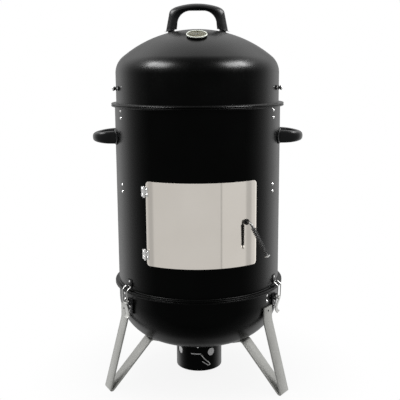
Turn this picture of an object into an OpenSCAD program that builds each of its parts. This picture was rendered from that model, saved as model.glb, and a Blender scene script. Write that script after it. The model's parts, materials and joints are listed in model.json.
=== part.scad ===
// Vertical charcoal water smoker: a domed lid, a barrel with a stainless access door,
// a fire bowl on three folded strap legs and an air-inlet cup with a turning damper.
// The origin is on the smoker's axis at floor level, +Z is up and the door faces -Y.
// Azimuths are measured from -Y towards +X, in degrees.

/* [Shells] */
// Outside radius of the barrel and fire bowl walls
shell_r = 203; // [200:1:206]
// Sheet thickness of lid, barrel and bowl
sheet_t = 1.5; // [1.2:0.1:1.8]
// Height of the seam between the fire bowl and the barrel
lower_seam_z = 254; // [250:1:258]
// Height of the seam between the barrel and the lid
upper_seam_z = 698; // [690:1:710]
// How far the rims at the lower seam stand out past the wall
lower_rim_out = 9.6; // [8:0.1:10]
// How far the rims at the upper seam stand out past the wall
upper_rim_out = 8.6; // [7:0.1:10]
// Height of one rolled rim
rim_h = 4; // [3.5:0.5:5]

/* [Lid] */
// Outside radius of the lid's straight skirt
lid_r = 199.3; // [198:0.1:199.5]
// Height of the top of the lid above the floor
lid_top_z = 877; // [870:1:882]
// Radius of the lid's crown
crown_r = 285; // [275:1:300]
// Radius of the lid's rounded shoulder
shoulder_r = 51; // [45:1:56]
// How far the skirt reaches down inside the barrel
lid_lip_h = 6; // [4:1:8]

/* [Fire bowl] */
// Height of the lowest point of the bowl's outside
bowl_low_z = 91.6; // [88:0.1:96]
// Radius of the bowl's shallow bottom
bowl_bottom_r = 385; // [370:5:400]
// Radius of the bowl's lower corner
bowl_corner_r = 110; // [100:1:115]

/* [Legs] */
// Width of the leg strap
strap_w = 37; // [34:1:40]
// Thickness of the leg strap
strap_t = 4; // [3:0.5:5]
// Distance of each foot from the axis
foot_r = 251; // [245:1:260]
// Length of the flat under each foot
foot_flat = 6; // [5:1:10]
// Height of a leg's upper end
leg_top_z = 213; // [208:1:215]
// Height at which a leg's outer strap turns outwards
leg_bend_z = 179; // [172:1:184]

/* [Door] */
// Azimuth of the door's left edge
door_from = -35.5; // [-36:0.1:-35]
// Azimuth of the door's right edge
door_to = 41.2; // [39:0.1:43]
// Height of the door's lower edge
door_low_z = 332; // [325:1:340]
// Height of the door's upper edge
door_high_z = 531; // [525:1:540]
// How far the door laps past its opening on every side
door_lap = 12; // [10:1:15]
// Radius of the door's corners
door_corner_r = 8; // [5:1:12]
// Azimuth of the latch handle's axis
door_handle_az = 32.7; // [30:0.1:34]
// Height of the latch handle's axis
door_handle_z = 436.5; // [430:0.5:445]
// Angle between the hanging handle and straight down
door_handle_lean = 16.4; // [0:0.1:25]

/* [Latches] */
// Turn of the three latches from -60, 60 and 180 degrees
latch_turn = 5.5; // [4:0.1:8]
// Height of a latch lever's pivot
latch_pivot_z = 229; // [227:0.5:231]
// Distance of a latch lever's pivot from the axis
latch_pivot_r = 209.5; // [209:0.1:210]

/* [Side handles] */
// Height of the side handles' mid plane
side_handle_z = 620; // [600:1:640]
// How far a side handle reaches from the barrel wall
side_handle_reach = 56; // [50:1:65]
// Length of a side handle along the wall
side_handle_len = 100; // [90:1:110]
// Thickness of a side handle's arm
side_handle_arm = 14; // [12:0.5:16]

/* [Lid handle] */
// Width of the lid handle at its feet
lid_handle_w = 155; // [150:1:158]
// Width of the lid handle at its shoulders
lid_handle_top_w = 130; // [126:1:134]
// Height of the lid handle's crest above the floor
lid_handle_crest_z = 937; // [935:0.5:945]
// Depth of the lid handle, front to back
lid_handle_depth = 24; // [20:1:28]

/* [Thermometer] */
// Outside radius of the thermometer's bezel
bezel_r = 24.6; // [24:0.1:25.5]
// Distance of the thermometer from the lid's axis
thermometer_r = 103; // [98:1:106]

/* [Air inlet] */
// Outside radius of the inlet cup
cup_r = 58.6; // [58:0.1:59]
// Height of the inlet cup's underside
cup_low_z = 20.4; // [19:0.1:24]
// Radius of each air hole
air_hole_r = 10.5; // [9:0.1:10.8]
// Height of the air holes
air_hole_z = 69; // [66:0.5:70]
// Azimuth of the first of four air holes
air_hole_az = 33; // [31:0.5:35]
// Angle that the damper turns through
damper_travel = 25; // [24:0.5:26]

/* [Hidden] */

gap = 0.1;                 // clearance between pieces that touch
hole_gap = 0.15;           // radial clearance round a fastener
round_fn = 96;             // facets of drawn curves
inner_r = shell_r - sheet_t;
rim_chamfer = 1.3;
rim_fillet = 1.2;
bracket_az = [-62.5, 61.5, 180];
leg_az = [-63, 55, 176.5];
latch_az = [for (a = [-60, 60, 180]) a + latch_turn];

enamel = "#202222";
black_plastic = "#17181a";
chrome_colour = "#d5d5d2";
steel = "#a8a8a2";
stainless = "#c0bbb4";
wire_steel = "#b8b8b4";
latch_black = "#1c1d1f";
grey_sleeve = "#8b8b89";

// Lid outline
crown_cz = lid_top_z - crown_r;
crown_end = asin((lid_r - shoulder_r) / (crown_r - shoulder_r));
shoulder_cz = crown_cz + (crown_r - shoulder_r) * cos(crown_end);

// Fire bowl outline
bowl_cz = bowl_low_z + bowl_bottom_r;
bowl_end = asin((shell_r - bowl_corner_r) / (bowl_bottom_r - bowl_corner_r));
bowl_corner_z = bowl_cz - (bowl_bottom_r - bowl_corner_r) * cos(bowl_end);

// Fasteners: radius of shank, radius and height of head
rivet_r = 2;
rivet_head_r = 3.4;
rivet_head_h = 1.9;
screw_r = 2.4;
screw_head_r = 4.4;
screw_head_h = 2.4;

// Brackets inside the barrel and the bowl
bracket_w = 20;
bracket_t = 2;
bracket_r = inner_r - 0.4 - bracket_t / 2;
upper_rivet_z = [687, 670];
lower_rivet_z = [512, 495];
bowl_rivet_z = [241, 226];
upper_shelf_z = 660;
lower_shelf_z = 519;
pan_shelf_z = 483;
charcoal_shelf_z = 216;

// Grates
grate_ring_r = 194.5;
hoop_w = 5;
hoop_h = 6;
grate_bar_wire = 1.9;
grate_pitch = 18;

// Water pan
pan_rim_r = 186;
pan_top_r = 172;
pan_low_r = 150;
pan_depth = 82;
pan_t = 1.2;

// Door and hinges
door_t = 1.5;
door_r = shell_r + 1;
hinge_az = -36.6;
hinge_r = 207;
hinge_h = 23;
hinge_z = [358, 506.5];
leaf_t = 1.2;
leaf_w = 10.6;
leaf_az = 1.55;
knuckle_r = 3.2;
knuckle_h = 4.2;
hinge_pin_r = 1.6;
leaf_screw_z = [-6.5, 6.5];
leaf_screw_az = 1.95;
leaf_screw_r = 1.2;

// Legs
leg_screw_z = 203;
leg_screw_r = 1.8;
leg_head_r = 2.6;
leg_head_h = 1.2;
leg_tail_r = 4.2;
tab_polar = 19.3;
tab_half = 14;

// Latch handle on the door
bush_r = 4.1;
rod_r = 3;
rod_bend_out = 17;
rod_slant = 24.5;
rod_len = 86;
coil_r = 4.3;
coil_wire = 1.35;
coil_pitch = 4.3;
coil_turns = 15;
coil_start = 13;
cap_r = 7;
cap_t = 2.6;
tongue_len = 34;
tongue_w = 12;
tongue_r = 196;

// Latches
latch_rivet_z = [216, 204];
catch_rivet_z = 279;
bail_wire = 1.3;
bail_half_w = 10.4;
bail_pivot_r = latch_pivot_r + 8;
bail_pivot_z = latch_pivot_z - 2;
bail_bar_r = 207.7;
bail_bar_z = 268.3;
bail_knee_r = 218.4;
bail_knee_z = 259;
catch_hook_z = 266;
catch_prong_r = 212;
catch_prong_z = 273.5;
lever_w = 14;

// Inlet cup, neck and damper
cup_t = 1.4;
neck_r = cup_r - cup_t - 0.2;
neck_t = 1.2;
neck_low_z = 79;
cup_top_z = 94.6;
cup_screw_z = 85;
cup_screw_az = [-3, 117, 237];
sleeve_r = cup_r - cup_t - gap;
sleeve_t = 1;
slot_z = 66;
slot_from = -21.5;
slot_to = 7;
lever_wire = 1.25;
lever_az = 5.2;

// Fittings on the lid
dial_r = 21.4;
lid_foot_polar = asin(62 / crown_r);
spacer_h = 4.4;
rail_y = 61.5;
rail_z = 738;
rail_r = 2.2;
rail_half = 202;
washer_from = 192;
nut_from = 197.8;
exhaust_polar = 20;
exhaust_hole_r = 8;
exhaust_ring_r = 19;
exhaust_disc_r = 33;

// ---------- placing ----------

// Children's -Y points outwards at an azimuth
module at(az, r = 0, z = 0) {
  rotate([0, 0, az]) translate([0, -r, z]) children();
}

// Children's +Z points outwards, +X is tangential and +Y is up
module outward(az, r, z) {
  at(az, r, z) rotate([90, 0, 0]) children();
}

// Children stand on the lid's crown with +Z along its outward normal
module on_crown(az, polar) {
  rotate([0, 0, az]) translate([0, 0, crown_cz]) rotate([polar, 0, 0])
    translate([0, 0, crown_r]) children();
}

// Children stand under the bowl's shallow bottom with +Z along its outward normal
module under_bowl(az, polar) {
  rotate([0, 0, az]) translate([0, 0, bowl_cz]) rotate([180 - polar, 0, 0])
    translate([0, 0, bowl_bottom_r]) children();
}

// ---------- shared shapes ----------

function arc(cx, cy, r, from, to, n) =
  [for (i = [0:n]) let (a = from + (to - from) * i / n) [cx + r * cos(a), cy + r * sin(a)]];

function unit(v) = v / norm(v);

// Outline of a rolled rim, going up from z
function rim(r, z) = [
  [r - rim_chamfer, z], [r, z + rim_chamfer],
  [r, z + rim_h - rim_chamfer], [r - rim_chamfer, z + rim_h]
];

// Ring sector between two azimuths
module sector(from, to, r_in, r_out, z_low, z_high) {
  rotate([0, 0, from - 90]) rotate_extrude(angle = to - from, $fn = round_fn)
    translate([r_in, z_low]) square([r_out - r_in, z_high - z_low]);
}

// Rivet or screw with its domed head standing on z = 0 and its tail below
module fastener(head_r, head_h, shank_r, grip, tail_r, tail_h) {
  cap_r = (head_r * head_r + head_h * head_h) / (2 * head_h);
  half = asin(head_r / cap_r);
  dome = arc(0, head_h - cap_r, cap_r, 90 - half, 90, 6);
  low = -grip - tail_h;
  rotate_extrude($fn = 32) polygon(concat(
    [[0, low], [tail_r, low], [tail_r, -grip], [shank_r, -grip], [shank_r, 0]], dome));
}

// Left or right side of a bent strip, with mitred corners
function strip_side(p, d) = [for (i = [0:len(p) - 1])
  let (
    before = unit(p[max(i, 1)] - p[max(i, 1) - 1]),
    after = unit(p[min(i, len(p) - 2) + 1] - p[min(i, len(p) - 2)]),
    n = unit([-(before + after).y, (before + after).x]),
    stretch = 1 / (n * [-before.y, before.x])
  ) p[i] + n * d * stretch];

function strip(p, t) = concat(strip_side(p, t / 2),
  [for (q = [len(p) - 1:-1:0]) strip_side(p, -t / 2)[q]]);

// Outline in (distance from axis, height), given a width along the wall
module profile_at(az, w) {
  rotate([0, 0, az - 90]) rotate([90, 0, 0]) linear_extrude(w, center = true) children();
}

// Path with its corners rounded by short curves that start d before each corner
function round_path(p, d, n) = concat([p[0]], [for (i = [1:len(p) - 2])
  let (a = p[i] + unit(p[i - 1] - p[i]) * d, b = p[i] + unit(p[i + 1] - p[i]) * d)
  for (k = [0:n]) let (s = k / n)
    a * (1 - s) * (1 - s) + p[i] * 2 * s * (1 - s) + b * s * s], [p[len(p) - 1]]);

function tangent(p, i) = unit(p[min(i + 1, len(p) - 1)] - p[max(i - 1, 0)]);

function carried(n, t) = unit(n - t * (n * t));

// Round wire along a path of points
module wire(p, r, sides = 10) {
  first = tangent(p, 0);
  seed = abs(first.z) < 0.9 ? [0, 0, 1] : [1, 0, 0];
  last = len(p) - 1;
  normals = [for (i = 0, n = carried(seed, first); i <= last;
    i = i + 1, n = carried(n, tangent(p, min(i, last)))) n];
  rings = [for (i = [0:last]) for (k = [0:sides - 1])
    let (a = 360 * k / sides, side = cross(tangent(p, i), normals[i]))
    p[i] + r * (normals[i] * cos(a) + side * sin(a))];
  walls = [for (i = [0:last - 1]) for (k = [0:sides - 1])
    let (a = i * sides + k, b = i * sides + (k + 1) % sides)
    [a, a + sides, b + sides, b]];
  ends = [[for (k = [0:sides - 1]) k],
    [for (k = [sides - 1:-1:0]) last * sides + k]];
  polyhedron(points = rings, faces = concat(walls, ends), convexity = 10);
}

// ---------- lid ----------

// The lid's outline from skirt to apex, moved in from the outside by an amount
function lid_curve(inset) =
  let (crown = arc(0, crown_cz, crown_r - inset, 90 - crown_end, 90, 16))
  concat(arc(lid_r - shoulder_r, shoulder_cz, shoulder_r - inset, 0, 90 - crown_end, 12),
    [for (q = crown) if (q.x < lid_r - shoulder_r - 1) q]);

module exhaust_holes(r) {
  for (i = [0:2]) rotate([0, 0, 120 * i + 30]) translate([exhaust_ring_r, 0, -8])
    cylinder(r = r, h = 16);
}

module rail_ends(r, from, to) {
  for (sx = [-1, 1], sy = [-1, 1]) translate([sx * from, sy * rail_y, rail_z])
    rotate([0, sx * 90, 0]) cylinder(r = r, h = to - from, $fn = 32);
}

module lid_dome() {
  rim_z = upper_seam_z + gap;
  outer = lid_curve(0);
  inner = lid_curve(sheet_t);
  skirt_z = upper_seam_z - lid_lip_h;
  color(enamel) difference() {
    rotate_extrude($fn = round_fn) polygon(concat(
      [[lid_r - sheet_t, skirt_z], [lid_r, skirt_z], [lid_r, rim_z]],
      rim(shell_r + upper_rim_out, rim_z), [[lid_r, rim_z + rim_h + rim_fillet]], outer,
      [for (i = [len(inner) - 1:-1:0]) inner[i]]));
    on_crown(0, asin(thermometer_r / crown_r)) translate([0, 0, -8]) cylinder(r = 3.3, h = 16, $fn = 32);
    for (a = [-90, 90]) on_crown(a, lid_foot_polar) translate([0, 0, -8])
      cylinder(r = screw_r + hole_gap, h = 16, $fn = 32);
    rail_ends(rail_r + hole_gap, 180, 200);
    on_crown(180, exhaust_polar) {
      exhaust_holes(exhaust_hole_r);
      translate([0, 0, -8]) cylinder(r = rivet_r + hole_gap, h = 16, $fn = 32);
    }
  }
}

// Front view of the lid handle's bow
module lid_handle_outline() {
  half = lid_handle_w / 2;
  top_half = lid_handle_top_w / 2;
  crest_sag = 13;
  crest_r = (top_half * top_half + crest_sag * crest_sag) / (2 * crest_sag);
  crest_half = asin(top_half / crest_r);
  leg_w = 25.5;
  inner_top = lid_handle_crest_z - 16.5;
  bend_r = 32;
  inner_half = half - leg_w - 4.5;
  bow = arc(0, lid_handle_crest_z - crest_r, crest_r, 90 - crest_half, 90 + crest_half, 14);
  difference() {
    polygon(concat([[-half, 860], [half, 860]], bow));
    polygon(concat([[-(half - leg_w), 850], [half - leg_w, 850]],
      arc(inner_half - bend_r, inner_top - bend_r, bend_r, 0, 90, 8),
      arc(-inner_half + bend_r, inner_top - bend_r, bend_r, 90, 180, 8)));
  }
}

module lid_handle() {
  color(black_plastic) difference() {
    rotate([90, 0, 0]) linear_extrude(lid_handle_depth, center = true) lid_handle_outline();
    translate([0, 0, crown_cz]) sphere(r = crown_r + spacer_h + gap, $fn = round_fn);
    for (a = [-90, 90]) on_crown(a, lid_foot_polar) cylinder(r = screw_r + hole_gap, h = 24, $fn = 32);
  }
}

module lid_handle_spacers() {
  color(black_plastic) for (a = [-90, 90]) on_crown(a, lid_foot_polar) translate([0, 0, gap])
    difference() {
      cylinder(r = 8.5, h = spacer_h - 0.2, $fn = 48);
      translate([0, 0, -1]) cylinder(r = screw_r + hole_gap, h = spacer_h + 2, $fn = 32);
    }
}

module lid_handle_screws() {
  color(chrome_colour) for (a = [-90, 90]) on_crown(a, lid_foot_polar)
    translate([0, 0, -sheet_t - 0.3]) rotate([180, 0, 0])
      fastener(screw_head_r, screw_head_h, screw_r, 20, screw_r, 1);
}

// ---------- thermometer ----------

module at_thermometer() {
  on_crown(0, asin(thermometer_r / crown_r)) children();
}

module thermometer_gasket() {
  color(black_plastic) at_thermometer() rotate_extrude($fn = round_fn)
    polygon([[3.4, 0.15], [21.5, 0.15], [23.3, 1], [23.3, 2.2], [3.4, 2.2]]);
}

module thermometer_case() {
  color(chrome_colour) at_thermometer() rotate_extrude($fn = round_fn) polygon(concat(
    [[3.3, 2.3], [bezel_r - 1, 2.3], [bezel_r, 3], [bezel_r, 3.8]],
    arc(bezel_r - 1.5, 3.8, 1.5, 15, 165, 6),
    [[dial_r + 0.2, 3.8], [dial_r + 0.2, 3.2], [3.3, 3.2]]));
}

module thermometer_dial() {
  color("#8a8052") at_thermometer() translate([0, 0, 3.3]) difference() {
    cylinder(r = dial_r, h = 0.5, $fn = round_fn);
    translate([0, 0, -1]) cylinder(r = 1.2, h = 3, $fn = 32);
  }
}

module thermometer_needle() {
  needle_rest = 215;
  color("#202020") at_thermometer() translate([0, 0, 3.95]) difference() {
    union() {
      cylinder(r = 2.4, h = 0.6, $fn = 32);
      rotate([0, 0, needle_rest]) linear_extrude(0.4)
        polygon([[-6, -0.9], [17, -0.25], [17, 0.25], [-6, 0.9]]);
    }
    translate([0, 0, -1]) cylinder(r = 0.95, h = 3, $fn = 32);
  }
}

module thermometer_lens() {
  color([0.85, 0.9, 0.9, 0.35]) at_thermometer() rotate_extrude($fn = round_fn)
    polygon([[0, 4.9], [dial_r, 4.5], [dial_r, 5.2], [12, 5.7], [0, 5.9]]);
}

module thermometer_stem() {
  color(steel) at_thermometer() rotate_extrude($fn = 32)
    polygon([[0, -62], [1, -62], [3.1, -59], [3.1, 3.2], [0.9, 3.2], [0.9, 4.7], [0, 4.7]]);
}

module thermometer_nut() {
  color(steel) at_thermometer() translate([0, 0, -sheet_t - 5.4]) difference() {
    cylinder(r = 8.5, h = 5, $fn = 6);
    translate([0, 0, -1]) cylinder(r = 3.2, h = 7, $fn = 32);
  }
}

// ---------- lid fittings ----------

module hanging_rails() {
  color(steel) for (sy = [-1, 1]) translate([-rail_half, sy * rail_y, rail_z]) rotate([0, 90, 0])
    cylinder(r = rail_r, h = 2 * rail_half, $fn = 32);
}

// An outline turned about every rail end, going outwards from a distance
module on_rail_ends(from, outline) {
  for (sx = [-1, 1], sy = [-1, 1]) translate([sx * from, sy * rail_y, rail_z])
    rotate([0, sx * 90, 0]) rotate_extrude($fn = 48) polygon(outline);
}

// Spools with a wide flange against the lid and a narrower one under the nut
module rail_washers() {
  bore = rail_r + gap;
  color(black_plastic) on_rail_ends(washer_from, [[bore, 0], [5.8, 0], [5.8, 1.3], [3.4, 2.4],
    [3.4, 3.4], [5, 5], [5, 5.6], [bore, 5.6]]);
}

module rail_nuts() {
  bore = rail_r + gap;
  color(chrome_colour) on_rail_ends(nut_from, concat([[bore, 0], [5.2, 0], [5.8, 0.7], [5.8, 2.4]],
    arc(2.2, 2.4, 3, 15, 90, 5), [[0, 5.6], [0, 4.4], [bore, 4.4]]));
}

module exhaust_damper() {
  color(enamel) on_crown(180, exhaust_polar) difference() {
    union() {
      intersection() {
        translate([0, 0, -6]) cylinder(r = exhaust_disc_r, h = 12, $fn = round_fn);
        translate([0, 0, -crown_r]) difference() {
          sphere(r = crown_r + 1.5, $fn = round_fn);
          sphere(r = crown_r + 0.3, $fn = round_fn);
        }
      }
      translate([exhaust_disc_r - 9, -1, -0.6]) cube([7, 2, 12]);
    }
    exhaust_holes(exhaust_hole_r);
    translate([0, 0, -8]) cylinder(r = rivet_r + gap, h = 16, $fn = 32);
  }
}

module exhaust_rivet() {
  color(chrome_colour) on_crown(180, exhaust_polar) translate([0, 0, 1.7])
    fastener(5, 2, rivet_r, 4, 3.4, 1.2);
}

// ---------- barrel ----------

module door_opening() {
  lap = door_lap / shell_r * 180 / PI;
  sector(door_from + lap, door_to - lap, inner_r - 5, shell_r + 5,
    door_low_z + door_lap, door_high_z - door_lap);
}

// Shanks of every fastener that passes through the barrel wall
module barrel_holes() {
  for (a = bracket_az, z = concat(upper_rivet_z, lower_rivet_z))
    outward(a, inner_r - 5, z) cylinder(r = rivet_r + hole_gap, h = 12, $fn = 32);
  for (s = [-1, 1], d = [-1, 1]) side_handle_screw_place(s, d) translate([0, 0, -12])
    cylinder(r = screw_r + hole_gap, h = 24, $fn = 32);
  leaf_screw_holes(-1);
  for (a = latch_az)
    outward(a, inner_r - 5, catch_rivet_z) cylinder(r = rivet_r + hole_gap, h = 12, $fn = 32);
}

module barrel() {
  low_r = shell_r + lower_rim_out;
  high_r = shell_r + upper_rim_out;
  low_z = lower_seam_z + gap;
  color(enamel) difference() {
    rotate_extrude($fn = round_fn) polygon(concat([[inner_r, low_z]], rim(low_r, low_z),
      [[shell_r, low_z + rim_h + rim_fillet], [shell_r, upper_seam_z - rim_h - rim_fillet]],
      rim(high_r, upper_seam_z - rim_h), [[inner_r, upper_seam_z]]));
    door_opening();
    barrel_holes();
  }
}

// Side handle screws run along X through the middle of each arm; +Z points outwards
module side_handle_screw_place(s, d) {
  translate([s * inner_r, d * (side_handle_len - side_handle_arm) / 2, side_handle_z])
    rotate([0, s * 90, 0]) children();
}

// A horizontal D-shaped loop, deepest at the wall and rounded at its outer end
module side_handle(s) {
  reach = shell_r + side_handle_reach;
  half = side_handle_len / 2;
  corner = 38;
  in_corner = corner - side_handle_arm;
  color(black_plastic) difference() {
    intersection() {
      translate([0, 0, side_handle_z - 20]) linear_extrude(40) difference() {
        polygon(concat([[185, -half]], arc(reach - corner, -half + corner, corner, -90, 0, 8),
          arc(reach - corner, half - corner, corner, 0, 90, 8), [[185, half]]));
        polygon(concat([[180, -half + side_handle_arm]],
          arc(reach - corner, -half + corner, in_corner, -90, 0, 6),
          arc(reach - corner, half - corner, in_corner, 0, 90, 6),
          [[180, half - side_handle_arm]]));
      }
      translate([0, 0, side_handle_z]) rotate([90, 0, 0]) linear_extrude(120, center = true)
        polygon(concat([[180, -15.5], [shell_r + 20, -15.5]],
          arc(reach - 11, -1, 11, -75, 75, 6), [[shell_r + 20, 15.5], [180, 15.5]]));
    }
    cylinder(r = shell_r + 3, h = 2000, center = true, $fn = round_fn);
    for (d = [-1, 1]) side_handle_screw_place(1, d) translate([0, 0, -6])
      cylinder(r = screw_r + hole_gap, h = 36, $fn = 32);
  }
}

module side_handle_right() {
  side_handle(1);
}

module side_handle_left() {
  mirror([1, 0, 0]) side_handle(1);
}

module side_handle_plates() {
  half_angle = 20.5;
  color(black_plastic) for (s = [-1, 1]) difference() {
    sector(s * 90 - half_angle, s * 90 + half_angle, shell_r + gap, shell_r + 2.8,
      side_handle_z - 16, side_handle_z + 16);
    for (d = [-1, 1], u = [-1, 1]) outward(s * 90 + d * half_angle, shell_r - 20, side_handle_z + u * 18)
      rotate([0, 0, 45]) cube([20, 20, 60], center = true);
    for (d = [-1, 1]) side_handle_screw_place(s, d) translate([0, 0, -6])
      cylinder(r = screw_r + hole_gap, h = 30, $fn = 32);
  }
}

module side_handle_screws() {
  color(chrome_colour) for (s = [-1, 1], d = [-1, 1])
    side_handle_screw_place(s, d) translate([0, 0, -6.6]) rotate([180, 0, 0])
      fastener(screw_head_r, screw_head_h, screw_r, 30, screw_r, 1);
}

// ---------- brackets, grates and water pan ----------

module bracket_set(azimuths, outline, rivets) {
  color(steel) for (a = azimuths) difference() {
    profile_at(a, bracket_w) polygon(strip(outline, bracket_t));
    for (z = rivets) outward(a, inner_r - 10, z) cylinder(r = rivet_r + hole_gap, h = 12, $fn = 32);
  }
}

module grate_brackets_upper() {
  bracket_set(bracket_az, [[bracket_r, 691], [bracket_r, upper_shelf_z], [183, upper_shelf_z]],
    upper_rivet_z);
}

module grate_brackets_lower() {
  bracket_set(bracket_az, [[189, lower_shelf_z], [bracket_r, lower_shelf_z],
    [bracket_r, pan_shelf_z], [177, pan_shelf_z]], lower_rivet_z);
}

module charcoal_brackets() {
  bracket_set(leg_az, [[bracket_r, 246], [bracket_r, charcoal_shelf_z], [178, charcoal_shelf_z]],
    bowl_rivet_z);
}

module bracket_rivets(azimuths, heights) {
  color(chrome_colour) for (a = azimuths, z = heights) outward(a, shell_r + gap, z)
    fastener(rivet_head_r, rivet_head_h, rivet_r, sheet_t + 0.5 + bracket_t + 0.1, 3, 1);
}

module grate_bracket_rivets() {
  bracket_rivets(bracket_az, concat(upper_rivet_z, lower_rivet_z));
}

module charcoal_bracket_rivets() {
  bracket_rivets(leg_az, bowl_rivet_z);
}

// Bar grate whose hoop rests on z
module grate(ring_r, z, pitch) {
  color(wire_steel) translate([0, 0, z]) {
    rotate_extrude($fn = round_fn) translate([ring_r - hoop_w / 2, 0]) square([hoop_w, hoop_h]);
    for (y = [-pitch * floor((ring_r - 12) / pitch):pitch:ring_r - 12]) {
      half = sqrt(ring_r * ring_r - y * y);
      translate([-half, y, hoop_h - 2.2]) rotate([0, 90, 0])
        cylinder(r = grate_bar_wire, h = 2 * half, $fn = 20);
    }
    for (x = [-75, 75]) {
      half = sqrt(ring_r * ring_r - x * x);
      translate([x - 1.5, -half, 0.3]) cube([3, 2 * half, 2.6]);
    }
  }
}

module cooking_grate_upper() {
  grate(grate_ring_r, upper_shelf_z + bracket_t / 2 + gap, grate_pitch);
}

module cooking_grate_lower() {
  grate(grate_ring_r, lower_shelf_z + bracket_t / 2 + gap, grate_pitch);
}

module charcoal_grate() {
  grate(188, charcoal_shelf_z + bracket_t / 2 + gap, 22);
}

module water_pan() {
  z = pan_shelf_z + bracket_t / 2 + gap;
  corner = 16;
  low_z = z - pan_depth;
  color("#2a2c2e") rotate_extrude($fn = round_fn) polygon(concat(
    [[0, low_z]], arc(pan_low_r, low_z + corner, corner, -90, -12, 6),
    [[pan_top_r, z], [pan_rim_r, z], [pan_rim_r, z + pan_t], [pan_top_r - pan_t, z + pan_t]],
    arc(pan_low_r, low_z + corner, corner - pan_t, -12, -90, 6), [[0, low_z + pan_t]]));
}

// ---------- door ----------

// Front view of the door; its corners are narrowed so that they come out round on the curved sheet
module door_outline() {
  turn = (door_to - door_from) / 2;
  half_w = (door_r + door_t) * sin(turn);
  half_h = (door_high_z - door_low_z) / 2;
  corner_w = door_corner_r * cos(turn);
  quarter = arc(0, 0, door_corner_r, 0, 90, 6);
  corner = [for (q = quarter) [half_w - corner_w + q.x * cos(turn), half_h - door_corner_r + q.y]];
  back = [for (i = [len(corner) - 1:-1:0]) corner[i]];
  polygon(concat(corner, [for (q = back) [-q.x, q.y]], [for (q = corner) [-q.x, -q.y]],
    [for (q = back) [q.x, -q.y]]));
}

module door_panel() {
  color(stainless) difference() {
    intersection() {
      translate([0, 0, door_low_z - 5]) cylinder(r = door_r + door_t, h = 220, $fn = round_fn);
      outward((door_from + door_to) / 2, 100, (door_low_z + door_high_z) / 2)
        linear_extrude(120) door_outline();
    }
    translate([0, 0, door_low_z - 10]) cylinder(r = door_r, h = 230, $fn = round_fn);
    outward(door_handle_az, shell_r - 10, door_handle_z) cylinder(r = bush_r + gap, h = 30, $fn = 48);
    leaf_screw_holes(1);
  }
}

// One hinge's plan: a flat leaf to one side (s) of its pin, and the barrel of its knuckle
module hinge_plan(s, leaf_r) {
  difference() {
    union() {
      rotate(hinge_az) translate([0, -hinge_r]) circle(r = knuckle_r, $fn = 48);
      rotate(hinge_az + s * leaf_az) translate([-leaf_w / 2, -leaf_r - leaf_t]) square([leaf_w, leaf_t]);
    }
    rotate(hinge_az) translate([0, -hinge_r]) circle(r = hinge_pin_r + 0.05, $fn = 32);
  }
}

// Room for the other leaf's knuckle
module knuckle_cut(z_low, z_high) {
  half = knuckle_r + 0.9;
  at(hinge_az, hinge_r, z_low) translate([-half, -8, 0]) cube([2 * half, 16, z_high - z_low]);
}

module leaf_screw_holes(s) {
  for (z = hinge_z, dz = leaf_screw_z) outward(hinge_az + s * leaf_screw_az, shell_r - 5, z + dz)
    cylinder(r = leaf_screw_r + hole_gap, h = 16, $fn = 32);
}

module hinge_fixed_leaves() {
  color(chrome_colour) difference() {
    for (z = hinge_z) translate([0, 0, z]) linear_extrude(hinge_h, center = true)
      hinge_plan(-1, shell_r + gap);
    for (z = hinge_z) knuckle_cut(z - knuckle_h - 0.2, z + knuckle_h + 0.2);
    leaf_screw_holes(-1);
  }
}

module hinge_door_leaves() {
  color(chrome_colour) difference() {
    for (z = hinge_z) translate([0, 0, z]) linear_extrude(hinge_h, center = true)
      hinge_plan(1, door_r + door_t + gap);
    for (z = hinge_z) {
      knuckle_cut(z + knuckle_h, z + hinge_h);
      knuckle_cut(z - hinge_h, z - knuckle_h);
    }
    leaf_screw_holes(1);
  }
}

module hinge_pins() {
  end_z = hinge_h / 2 + 0.1;
  color(chrome_colour) for (z = hinge_z) at(hinge_az, hinge_r, z) rotate_extrude($fn = 32)
    polygon([[0, -end_z - 1.8], [2.6, -end_z - 1.8], [2.6, -end_z], [hinge_pin_r, -end_z],
      [hinge_pin_r, end_z], [2.6, end_z], [2.6, end_z + 1], [1.6, end_z + 1.8], [0, end_z + 1.8]]);
}

module hinge_screws(s, r, grip, tail_h) {
  color(chrome_colour) for (z = hinge_z, dz = leaf_screw_z)
    outward(hinge_az + s * leaf_screw_az, r, z + dz) fastener(2.3, 1.1, leaf_screw_r, grip, 2, tail_h);
}

module hinge_fixed_screws() {
  hinge_screws(-1, shell_r + leaf_t + 2 * gap, leaf_t + sheet_t + 0.5, 0.9);
}

module hinge_door_screws() {
  hinge_screws(1, door_r + door_t + leaf_t + 2 * gap, leaf_t + door_t + 0.25, 0.6);
}

// ---------- latch handle of the door ----------

// Children's +Z points out of the door and -Y along the hanging handle
module at_door_handle(r) {
  outward(door_handle_az, r, door_handle_z) rotate([0, 0, door_handle_lean]) children();
}

module slanted() {
  at_door_handle(shell_r + 2.5 + rod_bend_out) rotate([90 - rod_slant, 0, 0]) children();
}

module door_handle_bush() {
  color(black_plastic) at_door_handle(door_r) difference() {
    union() {
      translate([0, 0, -0.6]) cylinder(r = bush_r, h = 4, $fn = 48);
      translate([0, 0, door_t + gap]) cylinder(r = 7, h = 3, $fn = 48);
    }
    translate([0, 0, -4]) cylinder(r = rod_r + 0.05, h = 12, $fn = 48);
  }
}

module door_handle_rod() {
  color(chrome_colour) {
    at_door_handle(tongue_r - 3)
      cylinder(r = rod_r, h = shell_r + 2.5 + rod_bend_out - tongue_r + 3, $fn = 48);
    slanted() sphere(r = rod_r + 0.04, $fn = 48);
    slanted() cylinder(r = rod_r - 0.2, h = rod_len - 2, $fn = 48);
  }
}

function coil_path() = [for (a = [0:18:360 * coil_turns])
  [coil_r * cos(a), coil_r * sin(a), coil_start + coil_pitch * a / 360]];

module door_handle_coil() {
  color(latch_black) slanted() wire(coil_path(), coil_wire, 8);
}

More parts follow.
